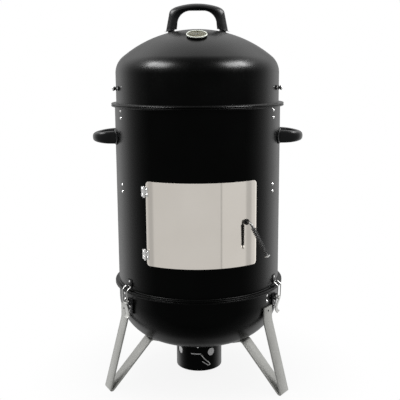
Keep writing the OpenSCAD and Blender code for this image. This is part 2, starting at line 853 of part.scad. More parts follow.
module door_handle_cap() {
  color(chrome_colour) slanted() translate([0, 0, rod_len - cap_t]) difference() {
    rotate_extrude($fn = 48) polygon([[0, 0], [cap_r - 0.8, 0], [cap_r, 0.8], [cap_r - 0.6, 1.8],
      [2.5, cap_t + 1], [0, cap_t + 1]]);
    translate([0, 0, -1]) cylinder(r = rod_r - 0.2 + gap, h = 1.8, $fn = 32);
  }
}

module door_tongue() {
  color(steel) outward(door_handle_az, tongue_r, door_handle_z) difference() {
    union() {
      cylinder(r = tongue_w / 2 + 1.5, h = 2, $fn = 48);
      translate([-tongue_w / 2, 0, 0]) cube([tongue_w, tongue_len, 2]);
    }
    translate([0, 0, -4]) cylinder(r = rod_r + gap, h = 12, $fn = 48);
  }
}

// ---------- fire bowl ----------

// The bowl's outline from near the axis to the wall, moved in by an amount
function bowl_curve(inset, start_r) =
  let (r = bowl_bottom_r - inset)
  concat(arc(0, bowl_cz, r, -90 + asin(start_r / r), -90 + bowl_end - 1, 8),
    arc(shell_r - bowl_corner_r, bowl_corner_z, bowl_corner_r - inset, -90 + bowl_end, 0, 12));

module fire_bowl() {
  outer = bowl_curve(0, neck_r);
  inner = bowl_curve(sheet_t, neck_r - neck_t);
  color(enamel) difference() {
    rotate_extrude($fn = round_fn) polygon(concat([[neck_r - neck_t, neck_low_z], [neck_r, neck_low_z]],
      outer, [[shell_r, lower_seam_z - rim_h - rim_fillet]],
      rim(shell_r + lower_rim_out, lower_seam_z - rim_h),
      [[inner_r, lower_seam_z]], [for (i = [len(inner) - 1:-1:0]) inner[i]]));
    for (a = leg_az) {
      for (z = bowl_rivet_z) outward(a, inner_r - 5, z) cylinder(r = rivet_r + hole_gap, h = 12, $fn = 32);
      outward(a, inner_r - 5, leg_screw_z) cylinder(r = leg_screw_r + hole_gap, h = 12, $fn = 32);
      under_bowl(a, tab_polar) translate([0, 0, -8]) cylinder(r = leg_screw_r + hole_gap, h = 16, $fn = 32);
    }
    for (a = latch_az, z = latch_rivet_z) outward(a, inner_r - 9, z)
      cylinder(r = rivet_r + hole_gap, h = 16, $fn = 32);
    for (a = cup_screw_az) outward(a, neck_r - 5, cup_screw_z)
      cylinder(r = 1.5 + hole_gap, h = 10, $fn = 32);
  }
}

// ---------- legs ----------

// Strap centre line: wall plate, outer leg, foot, inner leg, tab under the bowl
function leg_line() =
  let (
    wall = shell_r + gap + strap_t / 2,
    n = [sin(tab_polar), -cos(tab_polar)],
    along = [cos(tab_polar), sin(tab_polar)],
    tab = [0, bowl_cz] + (bowl_bottom_r + 0.2 + strap_t / 2) * n
  ) [
    [wall, leg_top_z], [wall, leg_bend_z],
    [foot_r + foot_flat / 2, strap_t / 2], [foot_r - foot_flat / 2, strap_t / 2],
    tab + along * tab_half, tab - along * tab_half
  ];

module leg(az) {
  color(steel) difference() {
    profile_at(az, strap_w) polygon(strip(leg_line(), strap_t));
    outward(az, shell_r - 2, leg_screw_z) cylinder(r = leg_screw_r + hole_gap, h = 12, $fn = 32);
    under_bowl(az, tab_polar) translate([0, 0, -4]) cylinder(r = leg_screw_r + hole_gap, h = 12, $fn = 32);
  }
}

module leg_left() {
  leg(leg_az[0]);
}

module leg_right() {
  leg(leg_az[1]);
}

module leg_rear() {
  leg(leg_az[2]);
}

module leg_screws() {
  color("#3a3a3a") for (a = leg_az) {
    outward(a, shell_r + strap_t + 0.3, leg_screw_z)
      fastener(leg_head_r, leg_head_h, leg_screw_r, strap_t + sheet_t + 2.2, leg_tail_r, 3);
    under_bowl(a, tab_polar) translate([0, 0, strap_t + 0.4])
      fastener(leg_head_r, leg_head_h, leg_screw_r, strap_t + sheet_t + 0.7, leg_tail_r, 3);
  }
}

// ---------- latches ----------

module latch_bases() {
  ear_w = 1.5;
  ear_x = lever_w / 2 + 0.3;
  ear_r = latch_pivot_r + 3.4;
  base_r = shell_r + 0.3;
  color(latch_black) for (a = latch_az) at(a) difference() {
    union() {
      translate([-11, -base_r - 1.6, latch_pivot_z - 32]) cube([22, 1.6, 39]);
      for (x = [-ear_x - ear_w, ear_x]) translate([x, -ear_r, latch_pivot_z - 7])
        cube([ear_w, ear_r - base_r - 1, 12]);
    }
    latch_pivot(hinge_pin_r + 0.05, 40);
    for (z = latch_rivet_z) translate([0, -shell_r + 5, z]) rotate([90, 0, 0])
      cylinder(r = rivet_r + hole_gap, h = 20, $fn = 32);
  }
}

module latch_pivot(r, w) {
  translate([-w / 2, -latch_pivot_r, latch_pivot_z]) rotate([0, 90, 0]) cylinder(r = r, h = w, $fn = 32);
}

module bail_pivot(r, w) {
  translate([-w / 2, -bail_pivot_r, bail_pivot_z]) rotate([0, 90, 0]) cylinder(r = r, h = w, $fn = 32);
}

module latch_base_rivets() {
  color(chrome_colour) for (a = latch_az) {
    for (z = latch_rivet_z) outward(a, shell_r + 2, z)
      fastener(rivet_head_r - 0.4, 1.2, rivet_r, sheet_t + 3.5, 3, 1);
    at(a) latch_pivot(hinge_pin_r, lever_w + 4);
  }
}

module latch_lever(az) {
  arm = [[latch_pivot_r, latch_pivot_z + 1.4], [bail_pivot_r, bail_pivot_z + 2.2],
    [bail_pivot_r, bail_pivot_z - 2.2], [latch_pivot_r, latch_pivot_z - 2.4]];
  plate = [[bail_pivot_r + 1.4, bail_pivot_z], [214.6, 214], [210.6, 199], [212.4, 193], [217, 189.5]];
  color(chrome_colour) difference() {
    union() {
      at(az) latch_pivot(3, lever_w);
      at(az) bail_pivot(2.6, lever_w);
      profile_at(az, lever_w) polygon(arm);
      profile_at(az, lever_w + 2) polygon(strip(plate, 1.6));
    }
    at(az) latch_pivot(hinge_pin_r + 0.05, 40);
    at(az) bail_pivot(bail_wire + gap, 40);
  }
}

module latch_lever_left() {
  latch_lever(latch_az[0]);
}

module latch_lever_right() {
  latch_lever(latch_az[1]);
}

module latch_lever_rear() {
  latch_lever(latch_az[2]);
}

// Half of the bail's wire, from its pin in the lever to the middle of its bar
function bail_half(s) = [
  [s * 3.4, -bail_pivot_r, bail_pivot_z],
  [s * bail_half_w, -bail_pivot_r, bail_pivot_z],
  [s * bail_half_w, -bail_knee_r, bail_knee_z],
  [s * bail_half_w, -bail_bar_r, bail_bar_z]
];

module latch_bail(az) {
  right = bail_half(1);
  left = bail_half(-1);
  path = concat(right, [for (i = [len(left) - 1:-1:0]) left[i]]);
  color(chrome_colour) at(az) wire(round_path(path, 2.6, 4), bail_wire, 12);
}

module latch_bail_left() {
  latch_bail(latch_az[0]);
}

module latch_bail_right() {
  latch_bail(latch_az[1]);
}

module latch_bail_rear() {
  latch_bail(latch_az[2]);
}

module latch_catches() {
  plate_r = shell_r + 0.3;
  hook = [[plate_r + 0.8, catch_hook_z], [catch_prong_r, catch_hook_z],
    [catch_prong_r, catch_prong_z]];
  color(latch_black) for (a = latch_az) difference() {
    union() {
      at(a) translate([-9, -plate_r - 1.4, catch_hook_z - 3]) cube([18, 1.4, 21]);
      profile_at(a, 9) polygon(strip(hook, 1.6));
    }
    outward(a, inner_r - 5, catch_rivet_z) cylinder(r = rivet_r + hole_gap, h = 16, $fn = 32);
  }
}

module latch_catch_rivets() {
  color(chrome_colour) for (a = latch_az) outward(a, shell_r + 1.8, catch_rivet_z)
    fastener(rivet_head_r - 0.5, 0.9, rivet_r, 1.8 + sheet_t + 0.2, 3, 1);
}

// ---------- air inlet ----------

module air_holes(az, r_from, r_to) {
  for (i = [0:3]) outward(az + 90 * i, r_from, air_hole_z)
    cylinder(r = air_hole_r, h = r_to - r_from, $fn = 48);
}

module inlet_cup() {
  wall_r = cup_r - cup_t;
  color(enamel) difference() {
    rotate_extrude($fn = round_fn) polygon([[0, cup_low_z], [cup_r - 1, cup_low_z], [cup_r, cup_low_z + 1],
      [cup_r, cup_top_z], [wall_r, cup_top_z], [wall_r, cup_low_z + cup_t], [0, cup_low_z + cup_t]]);
    air_holes(air_hole_az, 40, 70);
    sector(slot_from, slot_to, cup_r - 6, cup_r + 4, slot_z - 1.75, slot_z + 1.75);
    for (a = cup_screw_az) outward(a, cup_r - 6, cup_screw_z)
      cylinder(r = 1.5 + hole_gap, h = 12, $fn = 32);
  }
}

module inlet_cup_screws() {
  color(chrome_colour) for (a = cup_screw_az) outward(a, cup_r + gap, cup_screw_z)
    fastener(2.6, 1.3, 1.5, 3.4, 1.5, 1);
}

module damper_sleeve() {
  low = cup_low_z + cup_t + gap;
  color(grey_sleeve) difference() {
    rotate_extrude($fn = round_fn) translate([sleeve_r - sleeve_t, low])
      square([sleeve_t, neck_low_z - 0.8 - low]);
    air_holes(air_hole_az + damper_travel, 40, 70);
    outward(lever_az, sleeve_r - 6, slot_z) cylinder(r = lever_wire + 0.05, h = 12, $fn = 32);
  }
}

// Hairpin of wire that comes out of the slot, drops to the right and turns back
module damper_lever() {
  path = [[0, sleeve_r - 3, slot_z], [0, cup_r + 4.5, slot_z], [8, cup_r + 5.5, slot_z - 11],
    [19, cup_r + 6, slot_z - 20], [22, cup_r + 6, slot_z - 25], [17, cup_r + 6, slot_z - 27.5],
    [2, cup_r + 5.5, slot_z - 17]];
  front = [for (q = path) [q.x, -q.y, q.z]];
  color(wire_steel) rotate([0, 0, lever_az]) wire(round_path(front, 2.2, 4), lever_wire, 10);
}

lid_dome();
lid_handle();
lid_handle_spacers();
lid_handle_screws();
thermometer_case();
thermometer_gasket();
thermometer_dial();
thermometer_needle();
thermometer_lens();
thermometer_stem();
thermometer_nut();
hanging_rails();
rail_washers();
rail_nuts();
exhaust_damper();
exhaust_rivet();
barrel();
side_handle_left();
side_handle_right();
side_handle_plates();
side_handle_screws();
grate_brackets_upper();
grate_brackets_lower();
grate_bracket_rivets();
cooking_grate_upper();
cooking_grate_lower();
water_pan();
hinge_fixed_leaves();
hinge_pins();
hinge_fixed_screws();
latch_catches();
latch_catch_rivets();
door_panel();
hinge_door_leaves();
hinge_door_screws();
door_handle_bush();
door_handle_rod();
door_handle_coil();
door_handle_cap();
door_tongue();
fire_bowl();
charcoal_grate();
charcoal_brackets();
charcoal_bracket_rivets();
leg_left();
leg_right();
leg_rear();
leg_screws();
latch_bases();
latch_base_rivets();
latch_lever_left();
latch_lever_right();
latch_lever_rear();
latch_bail_left();
latch_bail_right();
latch_bail_rear();
inlet_cup();
inlet_cup_screws();
damper_sleeve();
damper_lever();
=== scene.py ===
import json
import math
from itertools import repeat

import bmesh
import bpy
from mathutils import Matrix, Vector


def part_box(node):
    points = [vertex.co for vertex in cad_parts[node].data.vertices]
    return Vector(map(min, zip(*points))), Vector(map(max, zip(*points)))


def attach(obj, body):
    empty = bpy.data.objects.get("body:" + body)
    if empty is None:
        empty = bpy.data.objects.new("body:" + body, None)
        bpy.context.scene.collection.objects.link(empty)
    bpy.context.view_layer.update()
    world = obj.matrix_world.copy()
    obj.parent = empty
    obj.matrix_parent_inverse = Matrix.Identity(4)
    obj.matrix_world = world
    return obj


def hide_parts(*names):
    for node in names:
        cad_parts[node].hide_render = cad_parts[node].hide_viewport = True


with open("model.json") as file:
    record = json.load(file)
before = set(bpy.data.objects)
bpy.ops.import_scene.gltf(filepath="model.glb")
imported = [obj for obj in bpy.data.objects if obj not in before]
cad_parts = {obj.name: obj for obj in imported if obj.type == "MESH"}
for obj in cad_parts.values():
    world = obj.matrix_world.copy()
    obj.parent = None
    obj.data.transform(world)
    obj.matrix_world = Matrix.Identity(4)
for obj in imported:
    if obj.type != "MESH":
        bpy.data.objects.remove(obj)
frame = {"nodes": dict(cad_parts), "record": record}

bpy.context.view_layer.update()

MM = 0.001
SHEET = 1.5
SHELL_R = 203.0
BEAD_R = 2.0
RIM_H = 2 * BEAD_R
RIM_FILLET = 1.2
SEGMENTS = 192
LEG_AZ = {"left": -63, "right": 55, "rear": 176.5}
LATCH_AZ = {"left": -54.5, "right": 65.5, "rear": 185.5}


# ---------------------------------------------------------------- mesh tools

def arc(cx, cz, r, start, end, n):
    """Points (distance, height) on an arc, its angles in degrees."""
    turn = [math.radians(start + (end - start) * i / n) for i in range(n + 1)]
    return [(cx + r * math.cos(a), cz + r * math.sin(a)) for a in turn]


def place(az, r, along, z):
    """A point in metres from millimetres: distance and shift along the wall at an azimuth, height."""
    a = math.radians(az)
    x = r * math.sin(a) + along * math.cos(a)
    y = along * math.sin(a) - r * math.cos(a)
    return Vector((x, y, z)) * MM


def heights(node):
    """The heights of a CAD node's lowest and highest points, in millimetres."""
    low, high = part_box(node)
    return low.z / MM, high.z / MM


def skin(rings, caps=True):
    """bmesh over rings of points, every ring closed and of the same count."""
    bm = bmesh.new()
    rows = [[bm.verts.new(p) for p in ring] for ring in rings]
    for low, high in zip(rows, rows[1:]):
        for i in range(len(low)):
            j = (i + 1) % len(low)
            bm.faces.new((low[i], low[j], high[j], high[i]))
    if caps:
        bm.faces.new(rows[0])
        bm.faces.new(rows[-1])
    bmesh.ops.recalc_face_normals(bm, faces=bm.faces)
    return bm


def revolve(profile, segments=SEGMENTS):
    """bmesh of a closed profile of (radius, height) in millimetres, turned about Z."""
    bm = bmesh.new()
    turn = [2 * math.pi * i / segments for i in range(segments)]
    rings = []
    for r, z in profile:
        if r == 0:
            rings.append([bm.verts.new((0, 0, z * MM))] * segments)
        else:
            points = [(r * MM * math.sin(t), -r * MM * math.cos(t), z * MM) for t in turn]
            rings.append([bm.verts.new(p) for p in points])
    for low, high in zip(rings, rings[1:] + rings[:1]):
        for i in range(segments):
            j = (i + 1) % segments
            corners = list(dict.fromkeys((low[i], low[j], high[j], high[i])))
            if len(corners) > 2:
                bm.faces.new(corners)
    bmesh.ops.recalc_face_normals(bm, faces=bm.faces)
    return bm


def prism(outline, low, high, matrix=Matrix()):
    """bmesh of an outline in x and y, in millimetres, raised from low to high."""
    rings = [[matrix @ (Vector((x, y, z)) * MM) for x, y in outline] for z in (low, high)]
    return skin(rings)


def smooth_path(points, cuts, n=6):
    """The path with each inner corner rounded by a curve that starts its own cut before the corner."""
    path = [points[0]]
    for before, corner, after, cut in zip(points, points[1:], points[2:], cuts):
        a = corner + (before - corner).normalized() * cut
        b = corner + (after - corner).normalized() * cut
        path += [a.lerp(corner, k / n).lerp(corner.lerp(b, k / n), k / n) for k in range(n + 1)]
    return path + [points[-1]]


def tube(path, r, sides=16):
    """bmesh of a round wire along a path of points in metres; r is in metres."""
    last = len(path) - 1
    tangents = [(path[min(i + 1, last)] - path[max(i - 1, 0)]).normalized() for i in range(last + 1)]
    normal = tangents[0].orthogonal().normalized()
    rings = []
    for point, tangent in zip(path, tangents):
        normal = (normal - tangent * normal.dot(tangent)).normalized()
        side = tangent.cross(normal)
        spin = [2 * math.pi * k / sides for k in range(sides)]
        rings.append([point + r * (normal * math.cos(t) + side * math.sin(t)) for t in spin])
    return skin(rings)


def worked(bm, *steps, cutters=()):
    """bmesh after cutting tools out of it and applying modifiers, given as (type, settings)."""
    target = loose(bm)
    tools = [loose(tool) for tool in cutters]
    for tool in tools:
        cut = target.modifiers.new("cut", "BOOLEAN")
        cut.object, cut.operation, cut.solver = tool, "DIFFERENCE", "EXACT"
    for kind, settings in steps:
        step = target.modifiers.new(kind.lower(), kind)
        for key, value in settings.items():
            setattr(step, key, value)
    evaluated = target.evaluated_get(bpy.context.evaluated_depsgraph_get())
    made = bpy.data.meshes.new_from_object(evaluated)
    result = bmesh.new()
    result.from_mesh(made)
    for o in [target] + tools:
        bpy.data.objects.remove(o)
    return result


def loose(bm):
    """A plain object of a bmesh, which it frees, for the tools to work on."""
    mesh = bpy.data.meshes.new("loose")
    bm.to_mesh(mesh)
    bm.free()
    o = bpy.data.objects.new("loose", mesh)
    bpy.context.scene.collection.objects.link(o)
    return o


def bevel(width, segments, angle):
    """A step for worked(): rounds edges sharper than angle by width, in millimetres."""
    return "BEVEL", dict(width=width * MM, segments=segments, limit_method="ANGLE",
                         angle_limit=math.radians(angle), harden_normals=False)


def piece(name, bm, body, finish, nodes=(), sharp=34, matrix=None):
    """Makes a bmesh a piece of the object, in place of CAD nodes, and frees it."""
    for face in bm.faces:
        face.smooth = True
    for edge in bm.edges:
        edge.smooth = len(edge.link_faces) == 2 and edge.calc_face_angle(0) < math.radians(sharp)
    mesh = bpy.data.meshes.new(name)
    bm.to_mesh(mesh)
    bm.free()
    mesh.materials.append(finish)
    o = bpy.data.objects.new(name, mesh)
    bpy.context.scene.collection.objects.link(o)
    if matrix is not None:
        o.matrix_world = matrix
    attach(o, body)
    if nodes:
        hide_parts(*nodes)
    return o


def softened(node, body, finish, width):
    """A CAD node's own shape with its sharp edges rounded by width, in millimetres."""
    same_point = 1e-6
    flat = math.radians(1.0)
    bm = bmesh.new()
    bm.from_mesh(frame["nodes"][node].data)
    bmesh.ops.remove_doubles(bm, verts=bm.verts, dist=same_point)
    bmesh.ops.dissolve_limit(bm, angle_limit=flat, verts=bm.verts, edges=bm.edges)
    bmesh.ops.recalc_face_normals(bm, faces=bm.faces)
    piece(node + "_soft", worked(bm, bevel(width, 2, 40)), body, finish, [node])


# ---------------------------------------------------------------- finishes

class Graph:
    """Short forms for building the nodes of a material or the world."""

    def __init__(self, tree):
        self.tree = tree
        tree.nodes.clear()

    def node(self, kind, inputs=None, **settings):
        made = self.tree.nodes.new("ShaderNode" + kind)
        for key, value in settings.items():
            setattr(made, key, value)
        for key, value in (inputs or {}).items():
            if isinstance(value, bpy.types.NodeSocket):
                self.tree.links.new(value, made.inputs[key])
            else:
                made.inputs[key].default_value = value
        return made

    def math(self, operation, a, b=0.0):
        """A socket with the result of arithmetic on two sockets or numbers."""
        return self.node("Math", {0: a, 1: b}, operation=operation).outputs[0]

    def between(self, value, low, high, to_low=0.0, to_high=1.0):
        """A socket that runs from to_low to to_high as value runs from low to high."""
        inputs = {"Value": value, "From Min": low, "From Max": high, "To Min": to_low, "To Max": to_high}
        return self.node("MapRange", inputs).outputs[0]

    def noise(self, vector, scale, stretch=(1, 1, 1), detail=3.0):
        mapped = self.node("Mapping", {"Vector": vector, "Scale": stretch}).outputs[0]
        inputs = {"Vector": mapped, "Scale": scale, "Detail": detail}
        return self.node("TexNoise", inputs).outputs["Fac"]

    def mix(self, factor, a, b):
        """A colour between a and b, each a socket or three numbers."""
        made = self.node("Mix", {"Factor": factor}, data_type="RGBA")
        for key, value in ((6, a), (7, b)):
            if isinstance(value, bpy.types.NodeSocket):
                self.tree.links.new(value, made.inputs[key])
            else:
                made.inputs[key].default_value = (*value, 1)
        return made.outputs[2]


EVEN = (1, 1, 1)
MID_NOISE = (0.3, 0.7)


def finish(name, dark, light, rough, metallic=0.0, specular=0.5, mottle=30, grain=(), worn=None, sheen=None):
    """Material whose colour runs from dark to light and whose roughness runs over a range.

    mottle is the patches' scale per metre; grain is (scale, depth in millimetres, stretch) bumps;
    worn is the colour at rubbed edges; sheen is two amounts of turning away from the view and the
    specular level that is reached between them.
    """
    material = bpy.data.materials.new(name)
    material.use_nodes = True
    g = Graph(material.node_tree)
    place_of = g.node("TexCoord").outputs["Object"]
    patches = g.between(g.noise(place_of, mottle), *MID_NOISE)
    fine = g.between(g.noise(place_of, mottle * 12), *MID_NOISE)
    colour = g.mix(patches, dark, light)
    roughness = g.between(g.math("MULTIPLY", patches, fine), 0.0, 1.0, *rough)
    if worn:
        flat = g.node("NewGeometry").outputs["Normal"]
        rounded = g.node("Bevel", {"Radius": 1.2 * MM}, samples=4).outputs[0]
        dot = g.node("VectorMath", {0: flat, 1: rounded}, operation="DOT_PRODUCT").outputs["Value"]
        edge = g.math("MULTIPLY", g.between(dot, 0.995, 0.9), fine)
        colour = g.mix(edge, colour, worn)
    normal = None
    for scale, depth, stretch in grain:
        height = g.noise(place_of, scale, stretch, 2.0)
        inputs = {"Height": height, "Distance": depth * MM, "Strength": 1.0}
        if normal is not None:
            inputs["Normal"] = normal
        normal = g.node("Bump", inputs).outputs[0]
    if sheen:
        start, end, level = sheen
        facing = g.node("LayerWeight", {"Blend": 0.5}).outputs["Facing"]
        specular = g.between(facing, start, end, specular, level)
    inputs = {"Base Color": colour, "Roughness": roughness, "Metallic": metallic,
              "Specular IOR Level": specular}
    if normal is not None:
        inputs["Normal"] = normal
    shader = g.node("BsdfPrincipled", inputs)
    g.node("OutputMaterial", {"Surface": shader.outputs[0]})
    return material


enamel = finish("black_enamel", (0.0002, 0.0003, 0.00025), (0.0005, 0.0007, 0.0006), (0.26, 0.33),
                specular=0.035, mottle=14, grain=[(120, 0.004, EVEN)], worn=(0.004, 0.0045, 0.0042),
                sheen=(0.2, 0.52, 0.125))
plastic = finish("black_plastic", (0.002, 0.0022, 0.0024), (0.0045, 0.005, 0.0054), (0.3, 0.4),
                 specular=0.14, mottle=40, grain=[(2600, 0.008, EVEN)], worn=(0.008, 0.0085, 0.009),
                 sheen=(0.1, 0.4, 0.3))
chrome = finish("chrome", (0.68, 0.68, 0.67), (0.8, 0.8, 0.79), (0.1, 0.22), metallic=1.0, mottle=90,
                grain=[(1400, 0.006, (1, 1, 0.3))])
wire = finish("bright_wire", (0.34, 0.34, 0.33), (0.5, 0.5, 0.49), (0.3, 0.45), metallic=1.0, mottle=160,
              grain=[(1800, 0.01, EVEN)])
stainless = finish("door_stainless", (0.93, 0.875, 0.8), (0.98, 0.925, 0.85), (0.07, 0.12), metallic=1.0,
                   mottle=9, grain=[(1500, 0.0015, (1, 1, 0.02)), (60, 0.01, EVEN)])
leg_steel = finish("leg_steel", (0.27, 0.27, 0.255), (0.32, 0.32, 0.305), (0.4, 0.52), metallic=0.75,
                   mottle=28, grain=[(1700, 0.008, (1, 1, 0.06))], worn=(0.52, 0.52, 0.5))
plated = finish("plated_steel", (0.3, 0.3, 0.29), (0.42, 0.42, 0.4), (0.35, 0.5), metallic=1.0, mottle=60,
                grain=[(1500, 0.01, EVEN)])
coal_wire = finish("charcoal_wire", (0.05, 0.045, 0.04), (0.16, 0.14, 0.12), (0.5, 0.75), metallic=0.8,
                   mottle=80, grain=[(900, 0.05, EVEN)])
black_steel = finish("black_steel", (0.008, 0.008, 0.009), (0.016, 0.016, 0.017), (0.35, 0.5), specular=0.15,
                     mottle=60, grain=[(1600, 0.01, EVEN)], worn=(0.06, 0.06, 0.06))
pan_enamel = finish("pan_enamel", (0.012, 0.013, 0.016), (0.05, 0.052, 0.058), (0.15, 0.3), specular=0.5,
                    mottle=700, grain=[(350, 0.02, EVEN)])
sleeve_metal = finish("sleeve_aluminium", (0.4, 0.4, 0.4), (0.5, 0.5, 0.5), (0.4, 0.55), metallic=0.7,
                      mottle=50, grain=[(1500, 0.01, (1, 1, 0.1))])
# Chrome darkened well below bright steel: painted shade for the door handle's rod, whose real metal is bright
chrome_painted_shade = finish("chrome_painted_shade", (0.09, 0.09, 0.09), (0.15, 0.15, 0.145), (0.25, 0.4), metallic=1.0,
                     mottle=120, grain=[(1400, 0.006, EVEN)])
bezel_metal = finish("bezel_metal", (0.58, 0.6, 0.54), (0.68, 0.7, 0.63), (0.25, 0.4), metallic=1.0,
                     mottle=120, grain=[(1500, 0.006, EVEN)])
dial_paint = finish("dial_face", (0.13, 0.115, 0.065), (0.22, 0.2, 0.125), (0.5, 0.65), specular=0.05,
                    mottle=200)
needle_paint = finish("needle_paint", (0.02, 0.02, 0.02), (0.035, 0.035, 0.035), (0.35, 0.5), mottle=300)


def clear_glass():
    """Thin glass that lets light straight through and reflects more at grazing angles."""
    material = bpy.data.materials.new("lens_glass")
    material.use_nodes = True
    g = Graph(material.node_tree)
    smear = g.between(g.noise(g.node("TexCoord").outputs["Object"], 120), *MID_NOISE, 0.05, 0.15)
    through = g.node("BsdfTransparent", {"Color": (0.95, 0.96, 0.95, 1)}).outputs[0]
    shine = g.node("BsdfGlossy", {"Roughness": smear}).outputs[0]
    both = g.node("MixShader", {0: g.node("Fresnel", {"IOR": 1.04}).outputs[0], 1: through, 2: shine})
    g.node("OutputMaterial", {"Surface": both.outputs[0]})
    return material


FINISH = {"black_enamel": enamel, "black_plastic": plastic, "chrome": chrome, "bright_wire": wire,
          "door_stainless": stainless, "leg_steel": leg_steel, "plated_steel": plated,
          "charcoal_wire": coal_wire, "black_steel": black_steel, "pan_enamel": pan_enamel,
          "dial_face": dial_paint, "needle_paint": needle_paint, "lens_glass": clear_glass(),
          "sleeve_aluminium": sleeve_metal}

slot_of = {s["node"]: s["material_slot"] for s in frame["record"]["subparts"]}
for name, o in frame["nodes"].items():
    o.data.materials.clear()
    o.data.materials.append(FINISH[slot_of[name]])


# ---------------------------------------------------------------- shells

CROWN_R = 285.0
CROWN_Z = 592.0
SHOULDER_R = 51.0
LID_R = 199.3
LID_RIM_R = 211.6
LOW_RIM_R = 212.6
CUP_R = 58.6
EXHAUST_AZ = 180
EXHAUST_POLAR = 20


def bead(r, low):
    """A rolled rim's round outer edge, going up from its flat underside."""
    return arc(r - BEAD_R, low + BEAD_R, BEAD_R, -90, 90, 10)


def lid_curve(inset):
    """The lid's outline, set in from its outside, from the shoulder's foot up to the middle."""
    end = math.degrees(math.asin((LID_R - SHOULDER_R) / (CROWN_R - SHOULDER_R)))
    centre_z = CROWN_Z + (CROWN_R - SHOULDER_R) * math.cos(math.radians(end))
    shoulder = arc(LID_R - SHOULDER_R, centre_z, SHOULDER_R - inset, 0, 90 - end, 24)
    crown = arc(0, CROWN_Z, CROWN_R - inset, 90 - end, 90, 40)
    return shoulder + crown[1:-1] + [(0, CROWN_Z + CROWN_R - inset)]


def on_crown(az, polar):
    """Matrix whose origin is on the lid's crown and whose +Z is its outward normal."""
    return (Matrix.Rotation(math.radians(az), 4, "Z") @ Matrix.Translation((0, 0, CROWN_Z * MM))
            @ Matrix.Rotation(math.radians(polar), 4, "X") @ Matrix.Translation((0, 0, CROWN_R * MM)))


def circle(cx, cy, r):
    """Points of a full circle, its last one next to its first."""
    n = 40
    return arc(cx, cy, r, 0, 360 - 360 / n, n - 1)


def lid_shell():
    """Lid with its skirt, rolled rim, domed top and three exhaust holes."""
    lid_low = heights("lid_dome")[0]
    rim_gap = 0.1
    rim_z = heights("barrel")[1] + rim_gap
    profile = ([(LID_R - SHEET, lid_low), (LID_R, lid_low), (LID_R, rim_z)] + bead(LID_RIM_R, rim_z)
               + [(LID_R + RIM_FILLET, rim_z + RIM_H), (LID_R, rim_z + RIM_H + RIM_FILLET)]
               + lid_curve(0) + lid_curve(SHEET)[::-1])
    exhaust = on_crown(EXHAUST_AZ, EXHAUST_POLAR)
    hole_r, ring_r, reach = 8, 19, 8
    spots = [math.radians(a) for a in (30, 150, 270)]
    holes = [prism(circle(ring_r * math.cos(a), ring_r * math.sin(a), hole_r), -reach, reach, exhaust)
             for a in spots]
    return worked(revolve(profile), cutters=holes)


def barrel_shell():
    """Barrel with a rolled rim at each end and the door's opening, which the door overlaps by lap."""
    barrel_low, barrel_high = heights("barrel")
    profile = ([(SHELL_R - SHEET, barrel_low)] + bead(LOW_RIM_R, barrel_low)
               + [(SHELL_R + RIM_FILLET, barrel_low + RIM_H), (SHELL_R, barrel_low + RIM_H + RIM_FILLET),
                  (SHELL_R, barrel_high - RIM_H - RIM_FILLET), (SHELL_R + RIM_FILLET, barrel_high - RIM_H)]
               + bead(LID_RIM_R, barrel_high - RIM_H) + [(SHELL_R - SHEET, barrel_high)])
    lap = 12.0
    low, high = heights("door_panel")
    edge = math.degrees(lap / SHELL_R)
    steps = [DOOR_FROM + edge + (DOOR_TO - DOOR_FROM - 2 * edge) * i / 40 for i in range(41)]
    within, beyond = SHELL_R - 13, SHELL_R + 12
    ends = ((within, low + lap), (beyond, low + lap), (beyond, high - lap), (within, high - lap))
    opening = skin([[place(a, r, 0, z) for r, z in ends] for a in steps])
    return worked(revolve(profile), cutters=[opening])


def bowl_shell():
    """Fire bowl: a shallow dished bottom with a neck, a round corner, and a rolled rim on top."""
    bowl_high = heights("fire_bowl")[1]
    bottom_r, corner_r, neck_r, neck_t, neck_low = 385.0, 110.0, 57.0, 1.2, 79.0
    low_z = 91.6
    end = math.degrees(math.asin((SHELL_R - corner_r) / (bottom_r - corner_r)))
    centre_z = low_z + bottom_r
    corner_z = centre_z - (bottom_r - corner_r) * math.cos(math.radians(end))

    def curve(inset, start_r):
        r = bottom_r - inset
        start = math.degrees(math.asin(start_r / r))
        return (arc(0, centre_z, r, -90 + start, -90 + end, 20)[:-1]
                + arc(SHELL_R - corner_r, corner_z, corner_r - inset, -90 + end, 0, 28))

    outside = curve(0, neck_r)
    profile = ([(neck_r - neck_t, neck_low), (neck_r, neck_low)] + outside
               + [(SHELL_R, bowl_high - RIM_H - RIM_FILLET), (SHELL_R + RIM_FILLET, bowl_high - RIM_H)]
               + bead(LOW_RIM_R, bowl_high - RIM_H)
               + [(SHELL_R - SHEET, bowl_high)] + curve(SHEET, neck_r - neck_t)[::-1])
    return revolve(profile)


def cup_shell():
    """Inlet cup with its four air holes and the slot for the damper's wire."""
    low, high = heights("inlet_cup")
    r, t, corner = CUP_R, 1.4, 2.0
    profile = ([(0, low)] + arc(r - corner, low + corner, corner, -90, 0, 6)
               + [(r, high), (r - t, high), (r - t, low + t), (0, low + t)])
    hole_r, hole_z = 10.5, 69
    cutters = []
    for az in (33, 123, 213, 303):
        rings = [[place(az, d, x, hole_z + y) for x, y in circle(0, 0, hole_r)] for d in (r - 14, r + 6)]
        cutters.append(skin(rings))
    slot_from, slot_turn, slot_low, slot_high = -21.5, 28.5, 64.25, 67.75
    steps = [slot_from + slot_turn * i / 12 for i in range(13)]
    ends = ((r - 8, slot_low), (r + 4, slot_low), (r + 4, slot_high), (r - 8, slot_high))
    cutters.append(skin([[place(a, d, 0, z) for d, z in ends] for a in steps]))
    return worked(revolve(profile, 128), cutters=cutters)


